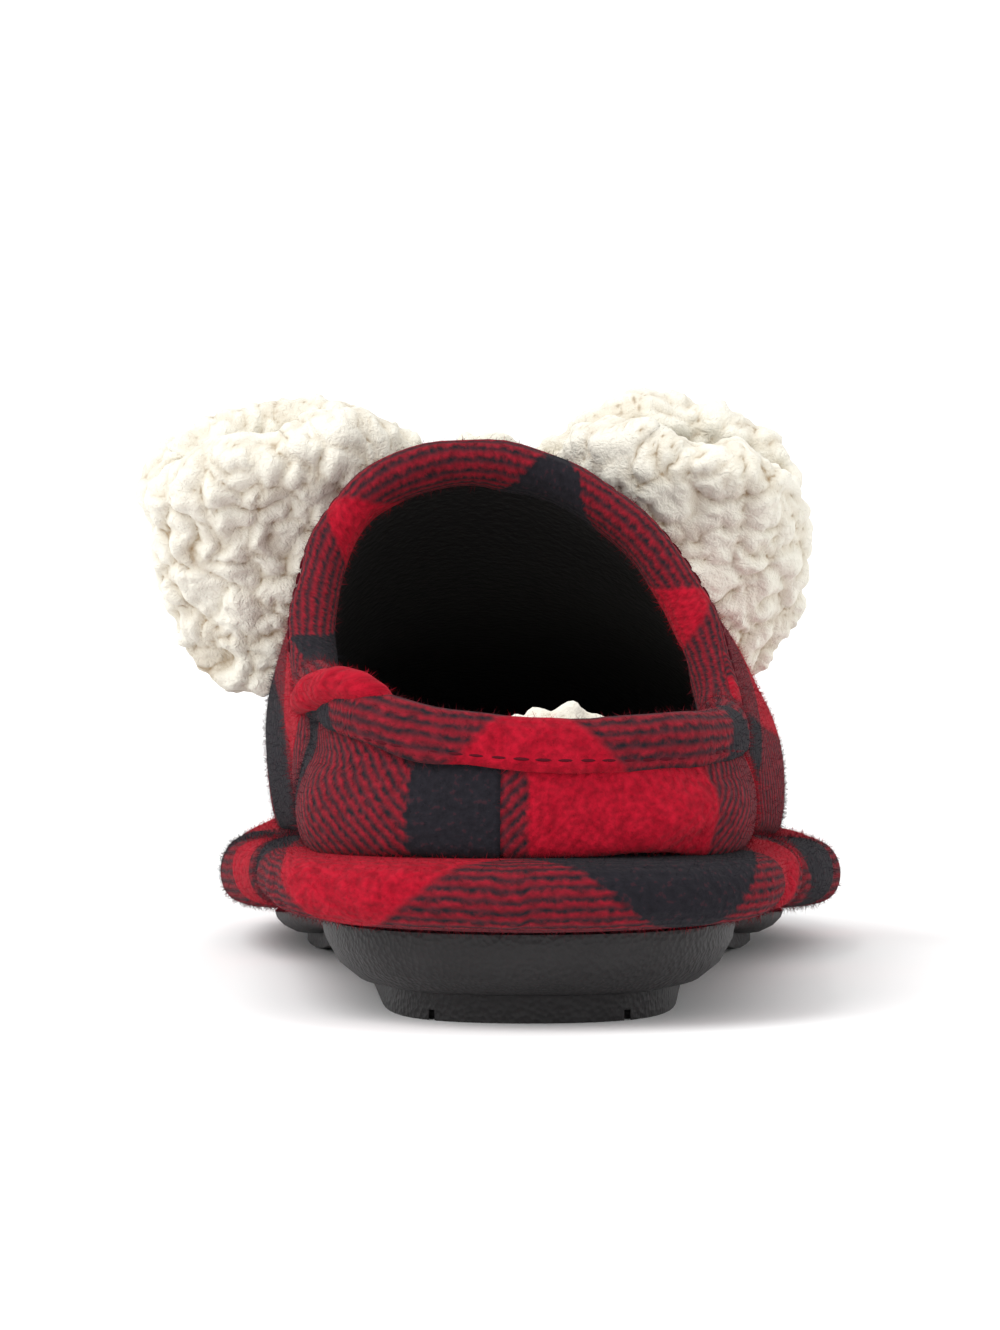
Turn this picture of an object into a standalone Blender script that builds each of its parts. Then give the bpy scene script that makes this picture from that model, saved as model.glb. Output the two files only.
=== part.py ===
"""Clog slipper for the right foot, seen with its heel at -Y and its toe at +Y.

A hollow fabric upper with a bound top line stands on a foam platform, which overhangs
a moulded outsole all round. A pile insole lies inside, and a pile bow sits on the vamp.
"""

import math
from collections import namedtuple
from functools import lru_cache

import bmesh
import bpy
import numpy as np
from mathutils import Vector

MM = 0.001

# Sizes of the last, the foot form that the upper is made over
LAST_LENGTH = 246 * MM  # heel to toe, along the line where the upper meets the platform
HEEL_WIDTH = 66 * MM
BALL_WIDTH = 89 * MM
INSTEP_HEIGHT = 64 * MM  # throat above the platform
TOE_SQUARENESS = 0.45  # from 0 for a round section to nearly 1 for a flat-topped one
RIDGE_SHIFT = 8 * MM  # the instep's highest line lies this far to the inner side
INNER_SWELL = 3.7 * MM  # how far the inner wall swells out over the waist
HEEL_LEAN = 2.5 * MM

# Sole and platform
HEEL_LIFT = 14 * MM  # top of the outsole above the floor
BALL_LIFT = 5 * MM
TOE_SPRING = 6 * MM
ARCH_RISE = 3 * MM
PLATFORM_THICKNESS = 12.5 * MM
PLATFORM_OVERHANG = 8.4 * MM
OUTSOLE_INSET = 0.6 * MM  # outsole edge within the last's outline
OUTSOLE_TUCK = 8.2 * MM  # how far the side curves in under the heel
TREAD_LEDGE = 1.2 * MM
HEEL_TREAD = 4.2 * MM  # depth of the tread below the curved side
BALL_TREAD = 2.2 * MM
GROOVE_WIDTH = 3 * MM
GROOVE_DEPTH = 1.6 * MM
GROOVE_PITCH = 8.5 * MM
GROOVE_MARGIN = 4 * MM  # from a groove's end to the tread's edge

# Upper, its top line and what lies inside
WALL = 3 * MM
RIM_HEIGHT = 18.3 * MM  # heel rim above the platform
CORNER_SHARE = 0.33  # where the heel rim turns up into the throat
THROAT_SHARE = 0.485  # where the top line crosses the instep
BINDING_WIDTH = 6 * MM
BINDING_THICKNESS = 1.9 * MM
INSOLE_THICKNESS = 9 * MM
INSOLE_MARGIN = 1 * MM
INSOLE_TOE_ROOM = 4 * MM  # further in from the wall under the curve of the toe

# Bow
BOW_SHARE = 0.60  # where the knot sits along the vamp
BOW_SHIFT = 1 * MM  # from the ridge, towards the outer side
BOW_SPAN = 111 * MM
BOW_HEIGHT = 47 * MM  # width of the pile strip at its widest
BOW_DROP = 9.5 * MM
BOW_LEAN = math.radians(28)  # tilt of the loops back towards the throat
LOOP_DEPTH = 26 * MM
PILE_THICKNESS = 8 * MM
KNOT_WIDTH = 18 * MM
KNOT_DEPTH = 17 * MM
KNOT_HEIGHT = 22 * MM
KNOT_RISE = 6 * MM  # its centre above the vamp

CLEARANCE = 0.3 * MM
SLOT_GAP = 0.4 * MM  # between the wall and each side of the binding's fold

# Mesh density
AROUND = 88  # points round an outline
MERIDIANS = AROUND // 2
CORNER_ROW = 16  # meridian that ends at the corner of the rim
THROAT_ROW = 28  # meridian that ends at the throat
RISE_STEPS = 11
SIDE_STEPS = 4  # up the outsole's side
SWELL_STEPS = 6  # up the platform's side
THROAT_STEPS = 16  # along each half of a binding
HEEL_STEPS = 12
LOOP_STEPS = 30
STRIP_STEPS = 10
KNOT_STEPS = 8
BLOCK_START, BLOCK_END, BLOCK_STEPS = 0.42, 0.93, 18

# Outline of the last. Each side's half width runs from the heel's at 0 to the ball's at 1,
# the centre line's shift is a share of the ball's width, and the inner wall's swell above
# the platform is a share of INNER_SWELL.
Outline = namedtuple("Outline", "share lateral medial centre swell")
OUTLINE = (
    Outline(0.00, 0.00, 0.00, 0.000, 0.0),
    Outline(0.15, 0.02, 0.00, 0.000, 0.4),
    Outline(0.30, 0.08, 0.02, -0.006, 1.0),
    Outline(0.45, 0.36, 0.18, -0.012, 1.0),
    Outline(0.60, 0.96, 0.76, -0.008, 0.4),
    Outline(0.70, 1.13, 1.02, 0.000, 0.0),
    Outline(0.85, 1.04, 1.02, -0.030, 0.0),
    Outline(1.00, 0.92, 0.94, -0.080, 0.0),
)
HEEL_ROUND = 8.0  # how squarely the outline closes at the heel, and at the toe
TOE_ROUND = 3.5

# Side profile: lift from the ball's at 0 to the heel's at 1, the platform's thickness,
# the arch under the waist, and the ridge as a share of the instep's height
Profile = namedtuple("Profile", "share lift platform arch ridge")
PROFILE = (
    Profile(0.00, 1.00, 0.92, 0.00, 0.95),
    Profile(0.18, 1.00, 0.92, 0.00, 1.12),
    Profile(0.33, 0.80, 0.96, 0.80, 1.13),
    Profile(0.45, 0.50, 1.00, 1.00, 1.04),
    Profile(0.53, 0.30, 1.03, 0.60, 0.93),
    Profile(0.60, 0.14, 1.06, 0.00, 0.79),
    Profile(0.70, 0.00, 1.08, 0.00, 0.65),
    Profile(0.80, 0.00, 1.08, 0.00, 0.55),
    Profile(0.90, 0.00, 1.06, 0.00, 0.48),
    Profile(1.00, 0.00, 1.05, 0.00, 0.43),
)
SPRING_START = 0.76
TOE_ROUNDING_START = 0.70
TOE_FULLNESS = 3.5  # how late the ridge bends down to the toe
TOE_FRONT = 0.975  # where the ridge of the vamp ends and the front of the toe begins
SIDE_POWER = 0.92  # how squarely the section's height rises above the platform

# Heel rim from the back of the heel at 0 to its corner at 1, as shares of its height
Rim = namedtuple("Rim", "share lateral medial")
RIM = (
    Rim(0.00, 1.00, 1.02),
    Rim(0.06, 1.00, 1.08),
    Rim(0.15, 1.02, 1.22),
    Rim(0.35, 1.02, 1.32),
    Rim(1.00, 1.08, 1.38),
)
HEEL_SWEEP = math.pi * CORNER_ROW / MERIDIANS
CORNER = CORNER_ROW / THROAT_ROW  # place of the corner along the top line

# Stretches of the tread with cross grooves, as shares of the length. The heel's seat and
# the pad under the ball stay plain.
Grooves = namedtuple("Grooves", "start end")
GROOVES = (
    Grooves(0.030, 0.105),
    Grooves(0.560, 0.625),
    Grooves(0.720, 0.860),
)

# Half of the bow, from its knot at 0 to the loop's outer fold at 1: the strip's width,
# how far its middle has dropped, and the loop's depth
Loop = namedtuple("Loop", "share width drop depth")
LOOP = (
    Loop(0.00, 0.34, 0.00, 0.42),
    Loop(0.25, 0.72, 0.36, 0.66),
    Loop(0.50, 0.94, 0.76, 0.90),
    Loop(0.72, 1.00, 1.00, 1.00),
    Loop(0.90, 0.86, 1.00, 0.94),
    Loop(1.00, 0.60, 0.84, 0.82),
)

# Edge of the insole, as shares of its thickness
Edge = namedtuple("Edge", "inset height")
INSOLE_EDGE = (
    Edge(0.00, 0.0),
    Edge(0.00, 0.7),
    Edge(0.35, 1.0),
)

LATERAL, MEDIAL = 1, -1
SIDES = {LATERAL: "lateral", MEDIAL: "medial"}


@lru_cache(maxsize=None)
def column(rows, name):
    """Shares, values and slopes of one named column. The slopes never overshoot a row."""
    shares = np.array([row.share for row in rows])
    values = np.array([getattr(row, name) for row in rows])
    steps = np.diff(values) / np.diff(shares)
    slopes = np.zeros(len(rows))
    slopes[0], slopes[-1] = steps[0], steps[-1]
    for i in range(1, len(rows) - 1):
        before, after = steps[i - 1], steps[i]
        if before * after > 0:
            slopes[i] = 2 * before * after / (before + after)
    return shares, values, slopes


def smooth(rows, name, share):
    """Reads a column between its rows along a smooth curve."""
    shares, values, slopes = column(rows, name)
    at = min(max(share, shares[0]), shares[-1])
    row = min(int(np.searchsorted(shares, at, side="right")) - 1, len(shares) - 2)
    span = shares[row + 1] - shares[row]
    t = (at - shares[row]) / span
    ends = values[row] * (1 + 2 * t) * (1 - t) ** 2 + values[row + 1] * (3 - 2 * t) * t * t
    bends = slopes[row] * t * (1 - t) ** 2 - slopes[row + 1] * (1 - t) * t * t
    return float(ends + bends * span)


def share_at(angle):
    """Share of the length at an angle round the outline: 0 is the heel, pi the toe."""
    return (1 - math.cos(angle)) / 2


def side_at(angle):
    return LATERAL if math.sin(angle) >= 0 else MEDIAL


def spring(share):
    """Rise of the toe, from 0 to 1."""
    return max(0.0, (share - SPRING_START) / (1 - SPRING_START)) ** 2


def floor_height(share):
    return ARCH_RISE * smooth(PROFILE, "arch", share) + TOE_SPRING * spring(share)


def outsole_top(share):
    lift = BALL_LIFT + (HEEL_LIFT - BALL_LIFT) * smooth(PROFILE, "lift", share)
    return lift + TOE_SPRING * spring(share)


def platform_top(share):
    return outsole_top(share) + PLATFORM_THICKNESS * smooth(PROFILE, "platform", share)


def toe_share(share):
    """From 0 where the toe starts to round off, to 1 at its tip."""
    return max(0.0, (share - TOE_ROUNDING_START) / (1 - TOE_ROUNDING_START))


def last_height(share):
    """Height of the last above the platform, rounded off at the toe."""
    height = INSTEP_HEIGHT * smooth(PROFILE, "ridge", share)
    return height * math.sqrt(1 - toe_share(share) ** TOE_FULLNESS)


def half_width(angle):
    """Signed half width of the last's outline, positive on the outer side."""
    share, side = share_at(angle), side_at(angle)
    to_ball = smooth(OUTLINE, SIDES[side], share)
    width = HEEL_WIDTH + (BALL_WIDTH - HEEL_WIDTH) * to_ball
    power = HEEL_ROUND if share < 0.5 else TOE_ROUND
    return side * width / 2 * math.sqrt(max(0.0, 1 - abs(math.cos(angle)) ** power))


def rounded(value, power):
    """A sine or cosine drawn out to a squarer curve."""
    return math.copysign(abs(value) ** power, value)


def last_point(angle, rise):
    """A point of the last's surface. Rise is 0 at the platform and pi/2 on the ridge."""
    share, inner = share_at(angle), side_at(angle) == MEDIAL
    height_share = abs(math.sin(rise)) ** SIDE_POWER
    height = CLEARANCE + last_height(share) * height_share
    centre = BALL_WIDTH * smooth(OUTLINE, "centre", share)
    ridge = RIDGE_SHIFT * math.sin(rise) ** 2 * math.sin(angle) ** 2
    swell = INNER_SWELL * smooth(OUTLINE, "swell", share) * math.sin(2 * rise) if inner else 0
    flatness = 1 - TOE_SQUARENESS * toe_share(share)
    lean = HEEL_LEAN * (1 - share) ** 8 * height_share
    return Vector(
        (
            centre - ridge - swell + half_width(angle) * rounded(math.cos(rise), flatness),
            LAST_LENGTH * share + lean,
            platform_top(share) + height,
        )
    )


def last_slopes(angle, rise, step=1e-4):
    """The surface's two directions at a point, along its angle and its rise."""
    across = last_point(angle + step, rise) - last_point(angle - step, rise)
    upward = last_point(angle, rise + step) - last_point(angle, rise - step)
    return across / (2 * step), upward / (2 * step)


def last_normal(angle, rise):
    across, upward = last_slopes(angle, max(rise, 0.02))
    return across.cross(upward).normalized()


def walk(angle, rise, direction, distance, steps=4):
    """Where a step of that length along the surface ends, as angle and rise."""
    for _ in range(steps):
        across, upward = last_slopes(angle, rise)
        slopes = np.array([across, upward]).T
        goal = np.array(direction.normalized() * (distance / steps))
        moved = np.linalg.lstsq(slopes, goal, rcond=None)[0]
        angle, rise = angle + float(moved[0]), rise + float(moved[1])
    return angle, rise


def rise_for(share, height):
    """Rise at which the last's wall has this height above the platform."""
    share = min(share, TOE_FRONT)
    return math.asin(min(1.0, height / last_height(share)) ** (1 / SIDE_POWER))


def angle_for(share, side):
    angle = math.acos(1 - 2 * share)
    return angle if side == LATERAL else -angle


def top_line(side, along):
    """Angle and rise of the top line, from the heel's back at 0 to the throat at 1."""
    if along <= CORNER:
        sweep = HEEL_SWEEP * along / CORNER
        run = (1 - math.cos(sweep)) / (1 - math.cos(HEEL_SWEEP))
        share = CORNER_SHARE * run
        height = RIM_HEIGHT * smooth(RIM, SIDES[side], run)
        return angle_for(share, side), rise_for(share, height)
    turn = (along - CORNER) / (1 - CORNER) * math.pi / 2
    start = rise_for(CORNER_SHARE, RIM_HEIGHT * smooth(RIM, SIDES[side], 1.0))
    share = CORNER_SHARE + (THROAT_SHARE - CORNER_SHARE) * math.sin(turn)
    return angle_for(share, side), start + (math.pi / 2 - start) * (1 - math.cos(turn))


def off_top_line(side, along, below, step=0.004):
    """Angle and rise of a point this far below the top line, or above it if negative."""
    place = top_line(side, along)
    if along >= 1:
        down = Vector((0, 1, 0))
    elif along <= 0:
        down = Vector((0, 0, -1))
    else:
        run = last_point(*top_line(side, along + step)) - last_point(*top_line(side, along - step))
        down = run.cross(last_normal(*place)) * side
    return walk(*place, down, below)


def past_corner(direction):
    """A place on the top line half a clearance before or after its corner."""
    step = 0.01 * direction
    ends = [last_point(*top_line(LATERAL, CORNER + at)) for at in (0, step)]
    return CORNER + step * CLEARANCE / 2 / (ends[1] - ends[0]).length


def ring(outset, height, rise=lambda share: 0.0):
    """Points round the last, pushed out in plan and set at a height by their share."""
    points = []
    for i in range(AROUND):
        angle = 2 * math.pi * i / AROUND
        share = share_at(angle)
        up = rise(share)
        across = last_point(angle + 1e-4, up) - last_point(angle - 1e-4, up)
        out = Vector((across.y, -across.x, 0)).normalized()
        place = last_point(angle, up) + out * outset(share)
        points.append(Vector((place.x, place.y, height(share))))
    return points


def new_object(name, mesh, material=None):
    made = bpy.data.objects.new(name, mesh)
    bpy.context.scene.collection.objects.link(made)
    if material:
        mesh.materials.append(material)
    return made


def mesh_from(name, points, faces):
    mesh = bpy.data.meshes.new(name)
    mesh.from_pydata([tuple(point) for point in points], [], faces)
    shape = bmesh.new()
    shape.from_mesh(mesh)
    bmesh.ops.remove_doubles(shape, verts=shape.verts, dist=1e-6)
    bmesh.ops.recalc_face_normals(shape, faces=shape.faces)
    shape.to_mesh(mesh)
    shape.free()
    mesh.shade_smooth()
    mesh.set_sharp_from_angle(angle=math.radians(35))
    return mesh


def ladder(first, count, flip):
    """Faces that fill a ring by joining each point with the one across from it."""
    faces = []
    half = count // 2
    for i in range(half):
        a, b = i, i + 1
        c, d = (count - i - 1) % count, (count - i) % count
        corners = list(dict.fromkeys(first + k for k in (a, b, c, d)))
        faces.append(corners[::-1] if flip else corners)
    return faces


def loft(name, rings, material):
    """A closed solid through rings of equal length, from the bottom ring to the top."""
    count = len(rings[0])
    points = [point for ring in rings for point in ring]
    faces = []
    for level in range(len(rings) - 1):
        low, high = level * count, (level + 1) * count
        for i in range(count):
            j = (i + 1) % count
            faces.append((low + i, low + j, high + j, high + i))
    faces += ladder(0, count, flip=True)
    faces += ladder((len(rings) - 1) * count, count, flip=False)
    return new_object(name, mesh_from(name, points, faces), material)


def tube(name, sections, material=None, closed=False):
    """A solid through closed sections. Its ends are capped, or meet if it is closed."""
    count, turns = len(sections[0]), len(sections)
    points = [point for section in sections for point in section]
    faces = []
    for row in range(turns if closed else turns - 1):
        here, after = row * count, (row + 1) % turns * count
        for i in range(count):
            j = (i + 1) % count
            faces.append((here + i, here + j, after + j, after + i))
    if not closed:
        faces.append(tuple(range(count)))
        faces.append(tuple(range((turns - 1) * count, turns * count)))
    return new_object(name, mesh_from(name, points, faces), material)


def cut(target, cutter, name):
    """Takes one solid out of another, and keeps the cutter out of the part."""
    cutter.hide_render = True
    cutter.display_type = "WIRE"
    boolean = target.modifiers.new(name, "BOOLEAN")
    boolean.operation = "DIFFERENCE"
    boolean.solver = "EXACT"
    boolean.object = cutter


def finish(name, colour, roughness):
    material = bpy.data.materials.new(name)
    material.use_nodes = True
    shader = material.node_tree.nodes["Principled BSDF"]
    shader.inputs["Base Color"].default_value = (*colour, 1)
    shader.inputs["Roughness"].default_value = roughness
    shader.inputs["Metallic"].default_value = 0
    return material


def make_outsole(material):
    """Moulded outsole: a side that curves in under the foot, over a grooved tread."""

    def tread_top(share):
        deep = BALL_TREAD + (HEEL_TREAD - BALL_TREAD) * smooth(PROFILE, "lift", share)
        return floor_height(share) + deep

    def side_height(share):
        return outsole_top(share) - tread_top(share)

    def tuck(share):
        return OUTSOLE_TUCK * math.sqrt(side_height(share) / (HEEL_LIFT - HEEL_TREAD))

    def tread_edge(share):
        return -OUTSOLE_INSET - tuck(share) - TREAD_LEDGE

    rings = [ring(tread_edge, floor_height), ring(tread_edge, tread_top)]
    for step in range(SIDE_STEPS + 1):
        turn = math.pi / 2 * (1 - step / SIDE_STEPS)
        rings.append(
            ring(
                lambda s, t=turn: -OUTSOLE_INSET - tuck(s) * (1 - math.cos(t)),
                lambda s, t=turn: outsole_top(s) - side_height(s) * math.sin(t),
            )
        )
    outsole = loft("outsole", rings, material)
    for zone in GROOVES:
        count = round((zone.end - zone.start) * LAST_LENGTH / GROOVE_PITCH)
        for i in range(count + 1):
            share = zone.start + (zone.end - zone.start) * i / max(count, 1)
            cut(outsole, make_groove(share), "groove")


def make_groove(share):
    """A bar across the sole, which cuts one groove inside the tread's edge."""
    depth = GROOVE_DEPTH + floor_height(share)
    corners = ((-1, -GROOVE_DEPTH), (1, -GROOVE_DEPTH), (1, depth), (-1, depth))
    centre = BALL_WIDTH * smooth(OUTLINE, "centre", share)
    sections = []
    for side in (MEDIAL, LATERAL):
        edge = half_width(angle_for(share, side)) - side * (OUTSOLE_TUCK + GROOVE_MARGIN)
        sections.append(
            [
                Vector((centre + edge, LAST_LENGTH * share + way * GROOVE_WIDTH / 2, height))
                for way, height in corners
            ]
        )
    return tube("groove_cutter", sections)


def make_platform(material):
    """Foam platform in its fabric cover, which swells out past the upper and the sole."""

    def bottom(share):
        return outsole_top(share) + CLEARANCE

    rings = []
    for step in range(SWELL_STEPS + 1):
        turn = math.pi * (step / SWELL_STEPS - 0.5)
        out = max(0.0, math.cos(turn)) ** 0.7
        up = (1 + math.copysign(abs(math.sin(turn)) ** 0.9, turn)) / 2
        rings.append(
            ring(
                lambda s, o=out: (PLATFORM_OVERHANG + OUTSOLE_INSET) * o - OUTSOLE_INSET,
                lambda s, u=up: bottom(s) + (platform_top(s) - bottom(s)) * u,
            )
        )
    loft("platform", rings, material)


def make_insole(material):
    """Insole with its pile, inside the upper and flat on the platform."""

    def insole_margin(share):
        return WALL + INSOLE_MARGIN + INSOLE_TOE_ROOM * toe_share(share) ** 2

    rings = []
    for edge in INSOLE_EDGE:
        height = INSOLE_THICKNESS * edge.height
        rings.append(
            ring(
                lambda s, i=edge.inset: -(insole_margin(s) + INSOLE_THICKNESS * i),
                lambda s, h=height: platform_top(s) + CLEARANCE + h,
                lambda s, h=height: rise_for(s, h),
            )
        )
    loft("insole", rings, material)


def meridian(side, row, margin):
    """Angles and rises of one line of the upper, from the platform to the top line."""
    foot = share_at(math.pi * row / MERIDIANS)
    if row <= THROAT_ROW:
        top_angle, top_rise = off_top_line(side, row / THROAT_ROW, -margin)
        top = share_at(top_angle)
    else:
        along = (row - THROAT_ROW) / (MERIDIANS - THROAT_ROW)
        top = THROAT_SHARE + (TOE_FRONT - THROAT_SHARE) * (along + math.sin(along * math.pi / 2)) / 2
        top_rise = math.pi / 2
    places = []
    for step in range(RISE_STEPS + 1):
        up = step / RISE_STEPS
        rise = top_rise if row == MERIDIANS else top_rise * up
        places.append((angle_for(foot + (top - foot) * up, side), rise))
    return places


def make_shell(name, outward, inward, margin, material=None):
    """The upper's wall, this far out and in from the last and up past the top line."""
    points, faces, index = [], [], {}
    for row in range(MERIDIANS + 1):
        for side in (LATERAL, MEDIAL):
            for step, place in enumerate(meridian(side, row, margin)):
                at_end = row in (0, MERIDIANS)
                on_ridge = step == RISE_STEPS and row >= THROAT_ROW
                if side == MEDIAL and (at_end or on_ridge):
                    index[side, row, step] = index[LATERAL, row, step]
                    continue
                index[side, row, step] = len(points)
                points.append(last_point(*place))
    for side in (LATERAL, MEDIAL):
        for row in range(MERIDIANS):
            for step in range(RISE_STEPS):
                corners = (
                    index[side, row, step],
                    index[side, row + 1, step],
                    index[side, row + 1, step + 1],
                    index[side, row, step + 1],
                )
                faces.append(corners if side == LATERAL else corners[::-1])
    shell = new_object(name, mesh_from(name, points, faces), material)
    wall = shell.modifiers.new("wall", "SOLIDIFY")
    wall.thickness = outward + inward
    wall.offset = 2 * outward / wall.thickness - 1
    wall.use_even_offset = True
    wall.use_quality_normals = True
    return shell


def binding_section(side, along):
    """Outline of the folded strip at one place of the top line, over the upper's edge."""
    outer, inner = CLEARANCE, -(WALL + CLEARANCE)
    thick, width = BINDING_THICKNESS, BINDING_WIDTH
    profile = (
        (width, outer + 0.7 * thick),
        (0.75 * width, outer + thick),
        (0.3 * width, outer + 1.05 * thick),
        (0.0, outer + 0.8 * thick),
        (-0.9 * thick, outer),
        (-1.25 * thick, (outer + inner) / 2),
        (-0.9 * thick, inner),
        (0.0, inner - 0.8 * thick),
        (0.3 * width, inner - 1.05 * thick),
        (0.75 * width, inner - thick),
        (width, inner - 0.7 * thick),
    )
    section = []
    for below, outward in profile:
        place = off_top_line(side, along, below)
        section.append(last_point(*place) + last_normal(*place) * outward)
    return section


def make_binding(name, start, end, steps, slot, material):
    """A strip round the top line, from start on one side by way of end to the other."""
    alongs = [start + (end - start) * i / steps for i in range(steps + 1)]
    sections = [binding_section(LATERAL, along) for along in alongs]
    sections += [binding_section(MEDIAL, along) for along in alongs[-2::-1]]
    strip = tube(name, sections, material)
    cut(strip, slot, "slot for the wall")


def bow_frame():
    """Centre of the knot, and the bow's directions across, forward and up."""
    angle = angle_for(BOW_SHARE, LATERAL)
    seat = last_point(angle, math.pi / 2)
    normal = last_normal(angle, math.pi / 2)
    forward = Vector((0, math.cos(BOW_LEAN), math.sin(BOW_LEAN)))
    upward = Vector((0, -math.sin(BOW_LEAN), math.cos(BOW_LEAN)))
    centre = seat + Vector((BOW_SHIFT, 0, 0)) + normal * KNOT_RISE
    return centre, Vector((1, 0, 0)), forward, upward


def loop_section(side, turn):
    """One section of the pile strip that makes a loop, with rounded edges."""
    centre, across, forward, upward = bow_frame()
    reach = (1 - math.cos(turn)) / 2
    start, end = KNOT_WIDTH / 5, BOW_SPAN / 2
    fold = rounded(math.sin(turn), 0.8)
    depth = LOOP_DEPTH / 2 * smooth(LOOP, "depth", reach)
    hollow = max(depth - PILE_THICKNESS, 0.15 * depth)
    outside = across * (side * (start + (end - start) * reach)) + forward * (depth * fold)
    within = start + PILE_THICKNESS + (end - start - 2 * PILE_THICKNESS) * reach
    inside = across * (side * within) + forward * (hollow * fold)
    drop = Vector((0, 0, -BOW_DROP * smooth(LOOP, "drop", reach)))
    half = BOW_HEIGHT / 2 * smooth(LOOP, "width", reach)
    section = []
    for step in range(STRIP_STEPS):
        around = 2 * math.pi * (step + 0.5) / STRIP_STEPS
        swell = rounded(math.cos(around), 0.7)
        lift = rounded(math.sin(around), 0.6)
        place = inside.lerp(outside, (1 + swell) / 2) + upward * (half * lift)
        section.append(centre + drop + place)
    return section


def make_last_block(name, outset):
    """The last as a solid from instep to toe, which shapes what lies on the vamp."""
    sections = []
    for step in range(BLOCK_STEPS + 1):
        share = BLOCK_START + (BLOCK_END - BLOCK_START) * step / BLOCK_STEPS
        section = []
        for side, rises in ((LATERAL, range(RISE_STEPS + 1)), (MEDIAL, range(RISE_STEPS - 1, -1, -1))):
            for rise_step in rises:
                place = angle_for(share, side), math.pi / 2 * rise_step / RISE_STEPS
                section.append(last_point(*place) + last_normal(*place) * outset)
        sections.append(section)
    return tube(name, sections)


def make_pillow(name, grow, material=None):
    """The knot's soft rounded block, grown all round by the same amount."""
    centre, across, forward, upward = bow_frame()
    points, faces = [], []
    for i in range(KNOT_STEPS + 1):
        polar = math.pi * (i / KNOT_STEPS - 0.5)
        for j in range(2 * KNOT_STEPS):
            around = math.pi * j / KNOT_STEPS
            girth = max(0.0, math.cos(polar)) ** 0.6
            x = girth * rounded(math.cos(around), 0.7) * (KNOT_WIDTH / 2 + grow)
            y = girth * rounded(math.sin(around), 0.7) * (KNOT_DEPTH / 2 + grow)
            z = rounded(math.sin(polar), 0.7) * (KNOT_HEIGHT / 2 + grow)
            points.append(centre + across * x + forward * y + upward * z)
    row = 2 * KNOT_STEPS
    for i in range(KNOT_STEPS):
        for j in range(row):
            k = (j + 1) % row
            faces.append((i * row + j, i * row + k, (i + 1) * row + k, (i + 1) * row + j))
    return new_object(name, mesh_from(name, points, faces), material)


def make_bow(material):
    """Two loops of pile strip and the knot that gathers them, seated on the vamp."""
    vamp = make_last_block("vamp_cutter", 2 * CLEARANCE)
    cut(make_pillow("bow_knot", 0, material), vamp, "seat on the vamp")
    gather = make_pillow("knot_cutter", CLEARANCE)
    turns = [2 * math.pi * step / LOOP_STEPS for step in range(LOOP_STEPS)]
    for side, name in SIDES.items():
        sections = [loop_section(side, turn) for turn in turns]
        loop = tube(f"bow_loop_{name}", sections, material, closed=True)
        cut(loop, gather, "gather under the knot")
        cut(loop, vamp, "rest on the vamp")


def centre_on_origin():
    """Puts the middle of the shoe's box, at floor level, on the origin."""
    carrier = bpy.data.objects.new("shoe", None)
    bpy.context.scene.collection.objects.link(carrier)
    bpy.context.view_layer.update()
    graph = bpy.context.evaluated_depsgraph_get()
    corners = []
    for made in bpy.context.scene.objects:
        if made.type == "MESH" and not made.hide_render:
            corners += [Vector(corner) for corner in made.evaluated_get(graph).bound_box]
    low = Vector(min(corner[i] for corner in corners) for i in range(3))
    high = Vector(max(corner[i] for corner in corners) for i in range(3))
    for made in bpy.context.scene.objects:
        if made.type == "MESH":
            made.parent = carrier
    carrier.location = (-(low.x + high.x) / 2, -(low.y + high.y) / 2, 0)


def main():
    for old in list(bpy.data.objects):
        bpy.data.objects.remove(old)
    rubber = finish("moulded rubber", (0.035, 0.033, 0.034), 0.7)
    plaid = finish("brushed plaid", (0.42, 0.025, 0.04), 0.95)
    binding_cloth = finish("plaid binding", (0.26, 0.03, 0.045), 0.95)
    pile = finish("cream pile", (0.80, 0.75, 0.66), 1.0)
    make_outsole(rubber)
    make_platform(plaid)
    make_shell("upper", 0, WALL, 0, plaid)
    make_insole(pile)
    slot = make_shell("slot_cutter", SLOT_GAP, WALL + SLOT_GAP, CLEARANCE)
    make_binding("throat_binding", past_corner(1), 1.0, THROAT_STEPS, slot, binding_cloth)
    make_binding("heel_binding", past_corner(-1), 0.0, HEEL_STEPS, slot, binding_cloth)
    make_bow(pile)
    centre_on_origin()


main()
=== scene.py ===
"""Looks of a right-foot clog slipper in buffalo-check flannel with a pile bow.

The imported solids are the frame. Each section dresses one piece of the slipper, from the
sole up, and the last ones set up the floor, the light and the camera.
"""

import math
from collections import namedtuple

import bmesh
import bpy
import numpy as np
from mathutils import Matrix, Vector, noise
from mathutils.kdtree import KDTree


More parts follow.
